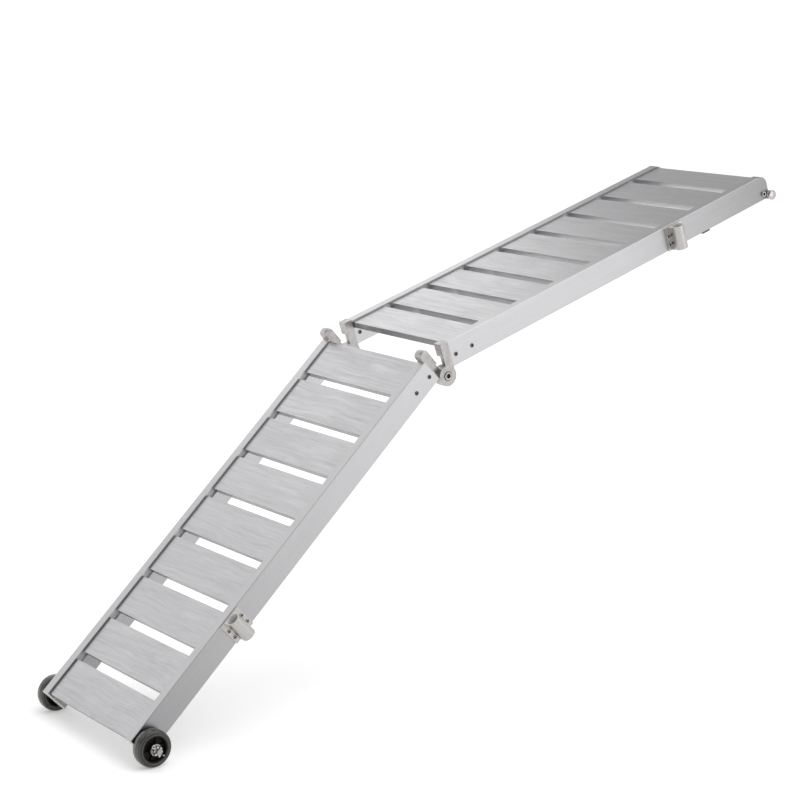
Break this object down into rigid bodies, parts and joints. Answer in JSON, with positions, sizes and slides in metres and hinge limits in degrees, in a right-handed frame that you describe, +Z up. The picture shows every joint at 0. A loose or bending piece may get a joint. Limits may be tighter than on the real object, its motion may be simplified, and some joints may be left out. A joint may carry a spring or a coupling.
{
  "type": "folding dog boarding ramp",
  "caption": "Two-section folding dog ramp with box rails, slatted treads, low cast hinges, foot wheels, stanchion sockets and a cross bar at the deck end.",
  "frame": {"origin": "middle of the cross bar that holds the deck end", "axes": "+Z up, +Y uphill from the wheels to the deck, +X towards the side that carries the stanchion sockets"},
  "size_m": [0.5126, 1.8918, 1.1447],
  "materials": {
    "rail_aluminium": "satin anodised",
    "tread_aluminium": "brushed along the plank",
    "cast_alloy": "satin casting",
    "socket_steel": "satin stainless",
    "dark_screw": "dark sockets",
    "polished_steel": "polished",
    "plain_steel": "plain stainless",
    "cap_grey": "satin",
    "end_cap_bright": "smooth light",
    "bush_bronze": "plain bearing",
    "tyre_rubber": "satin solid rubber",
    "hub_plastic": "moulded black",
    "foot_rubber": "matte"
  },
  "bodies": {
    "upper_section": {"upper_rail_right": "rail_aluminium", "upper_rail_left": "rail_aluminium", "upper_tread_1": "tread_aluminium", "upper_tread_2": "tread_aluminium", "upper_tread_3": "tread_aluminium", "upper_tread_4": "tread_aluminium", "upper_tread_5": "tread_aluminium", "upper_tread_6": "tread_aluminium", "upper_tread_7": "tread_aluminium", "upper_tread_8": "tread_aluminium", "upper_tread_9": "tread_aluminium", "upper_hinge_right": "cast_alloy", "upper_hinge_left": "cast_alloy", "upper_hinge_screws": "dark_screw", "pivot_bolts": "polished_steel", "pivot_washers": "plain_steel", "pivot_nuts": "plain_steel", "upper_socket": "socket_steel", "upper_socket_screws": "dark_screw", "deck_cap_right": "cap_grey", "deck_cap_left": "cap_grey", "deck_bracket_right": "plain_steel", "deck_bracket_left": "plain_steel", "deck_screws": "polished_steel", "deck_bar": "polished_steel", "deck_knobs": "polished_steel", "deck_feet": "foot_rubber"},
    "lower_section": {"lower_rail_right": "rail_aluminium", "lower_rail_left": "rail_aluminium", "lower_tread_1": "tread_aluminium", "lower_tread_2": "tread_aluminium", "lower_tread_3": "tread_aluminium", "lower_tread_4": "tread_aluminium", "lower_tread_5": "tread_aluminium", "lower_tread_6": "tread_aluminium", "lower_tread_7": "tread_aluminium", "lower_tread_8": "tread_aluminium", "lower_tread_9": "tread_aluminium", "lower_hinge_right": "cast_alloy", "lower_hinge_left": "cast_alloy", "lower_hinge_screws": "dark_screw", "pivot_bush_right": "bush_bronze", "pivot_bush_left": "bush_bronze", "lower_socket": "socket_steel", "lower_socket_screws": "dark_screw", "end_cap_right": "end_cap_bright", "end_cap_left": "end_cap_bright", "axle_bolts": "plain_steel", "axle_spacer_right": "plain_steel", "axle_spacer_left": "plain_steel", "axle_washers": "plain_steel", "axle_nuts": "polished_steel", "axle_cotters": "polished_steel"},
    "wheel_right": {"tyre_right": "tyre_rubber", "hub_right": "hub_plastic", "wheel_bush_right": "bush_bronze"},
    "wheel_left": {"tyre_left": "tyre_rubber", "hub_left": "hub_plastic", "wheel_bush_left": "bush_bronze"}
  },
  "joints": [
    {"name": "fold", "type": "hinge", "parent": "upper_section", "child": "lower_section", "pos_m": [0, -1.03233, -0.35108], "axis": [1, 0, 0], "range_deg": [-25.4, 154]},
    {"name": "wheel_right_spin", "type": "hinge", "parent": "lower_section", "child": "wheel_right", "pos_m": [0.218, -1.83739, -1.05706], "axis": [1, 0, 0], "continuous": true},
    {"name": "wheel_left_spin", "type": "hinge", "parent": "lower_section", "child": "wheel_left", "pos_m": [-0.218, -1.83739, -1.05706], "axis": [1, 0, 0], "continuous": true}
  ]
}
